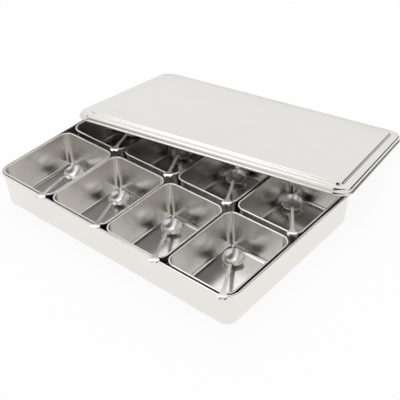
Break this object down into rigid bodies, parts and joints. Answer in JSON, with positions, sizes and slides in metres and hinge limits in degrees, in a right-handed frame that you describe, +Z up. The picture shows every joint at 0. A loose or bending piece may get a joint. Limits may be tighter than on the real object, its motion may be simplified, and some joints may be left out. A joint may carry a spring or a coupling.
{
  "type": "condiment tray",
  "caption": "Rectangular stainless steel condiment tray with two rows of lift-out rounded pans, a spoon resting in each pan and a shallow loose lid leaning on its back rim.",
  "frame": {"origin": "middle of the underside of the tray, where it rests on the table", "axes": "+X along the tray to its right end, +Y to its back where the lid leans, +Z up"},
  "size_m": [0.4538, 0.487, 0.084],
  "materials": {
    "tray": "satin",
    "lid": "satin",
    "pan": "satin",
    "spoon": "polished"
  },
  "bodies": {
    "tray": {"tray": "tray"},
    "lid": {"lid": "lid"},
    "pan_front_1": {"pan_front_1": "pan"},
    "pan_front_2": {"pan_front_2": "pan"},
    "pan_front_3": {"pan_front_3": "pan"},
    "pan_front_4": {"pan_front_4": "pan"},
    "pan_back_1": {"pan_back_1": "pan"},
    "pan_back_2": {"pan_back_2": "pan"},
    "pan_back_3": {"pan_back_3": "pan"},
    "pan_back_4": {"pan_back_4": "pan"},
    "spoon_front_1": {"spoon_front_1": "spoon"},
    "spoon_front_2": {"spoon_front_2": "spoon"},
    "spoon_front_3": {"spoon_front_3": "spoon"},
    "spoon_front_4": {"spoon_front_4": "spoon"},
    "spoon_back_1": {"spoon_back_1": "spoon"},
    "spoon_back_2": {"spoon_back_2": "spoon"},
    "spoon_back_3": {"spoon_back_3": "spoon"},
    "spoon_back_4": {"spoon_back_4": "spoon"}
  },
  "joints": [
    {"name": "lid_lift", "type": "slide", "parent": "tray", "child": "lid", "axis": [0, 0, 1], "range_m": [0, 0.3]},
    {"name": "pan_front_1_lift", "type": "slide", "parent": "tray", "child": "pan_front_1", "axis": [0, 0, 1], "range_m": [0, 0.08]},
    {"name": "spoon_front_1_lift", "type": "slide", "parent": "pan_front_1", "child": "spoon_front_1", "axis": [0, 0, 1], "range_m": [0, 0.08]},
    {"name": "pan_front_2_lift", "type": "slide", "parent": "tray", "child": "pan_front_2", "axis": [0, 0, 1], "range_m": [0, 0.08]},
    {"name": "spoon_front_2_lift", "type": "slide", "parent": "pan_front_2", "child": "spoon_front_2", "axis": [0, 0, 1], "range_m": [0, 0.08]},
    {"name": "pan_front_3_lift", "type": "slide", "parent": "tray", "child": "pan_front_3", "axis": [0, 0, 1], "range_m": [0, 0.08]},
    {"name": "spoon_front_3_lift", "type": "slide", "parent": "pan_front_3", "child": "spoon_front_3", "axis": [0, 0, 1], "range_m": [0, 0.08]},
    {"name": "pan_front_4_lift", "type": "slide", "parent": "tray", "child": "pan_front_4", "axis": [0, 0, 1], "range_m": [0, 0.08]},
    {"name": "spoon_front_4_lift", "type": "slide", "parent": "pan_front_4", "child": "spoon_front_4", "axis": [0, 0, 1], "range_m": [0, 0.08]},
    {"name": "pan_back_1_lift", "type": "slide", "parent": "tray", "child": "pan_back_1", "axis": [0, 0, 1], "range_m": [0, 0.08]},
    {"name": "spoon_back_1_lift", "type": "slide", "parent": "pan_back_1", "child": "spoon_back_1", "axis": [0, 0, 1], "range_m": [0, 0.08]},
    {"name": "pan_back_2_lift", "type": "slide", "parent": "tray", "child": "pan_back_2", "axis": [0, 0, 1], "range_m": [0, 0.08]},
    {"name": "spoon_back_2_lift", "type": "slide", "parent": "pan_back_2", "child": "spoon_back_2", "axis": [0, 0, 1], "range_m": [0, 0.08]},
    {"name": "pan_back_3_lift", "type": "slide", "parent": "tray", "child": "pan_back_3", "axis": [0, 0, 1], "range_m": [0, 0.08]},
    {"name": "spoon_back_3_lift", "type": "slide", "parent": "pan_back_3", "child": "spoon_back_3", "axis": [0, 0, 1], "range_m": [0, 0.08]},
    {"name": "pan_back_4_lift", "type": "slide", "parent": "tray", "child": "pan_back_4", "axis": [0, 0, 1], "range_m": [0, 0.08]},
    {"name": "spoon_back_4_lift", "type": "slide", "parent": "pan_back_4", "child": "spoon_back_4", "axis": [0, 0, 1], "range_m": [0, 0.08]}
  ],
  "couplings": [
    {"joint": "pan_back_1_lift", "follows": "lid_lift", "ratio": 0.25},
    {"joint": "spoon_back_1_lift", "follows": "lid_lift", "ratio": 0.25},
    {"joint": "pan_back_2_lift", "follows": "lid_lift", "ratio": 0.25},
    {"joint": "spoon_back_2_lift", "follows": "lid_lift", "ratio": 0.25},
    {"joint": "pan_back_3_lift", "follows": "lid_lift", "ratio": 0.25},
    {"joint": "spoon_back_3_lift", "follows": "lid_lift", "ratio": 0.25},
    {"joint": "pan_back_4_lift", "follows": "lid_lift", "ratio": 0.25},
    {"joint": "spoon_back_4_lift", "follows": "lid_lift", "ratio": 0.25}
  ]
}
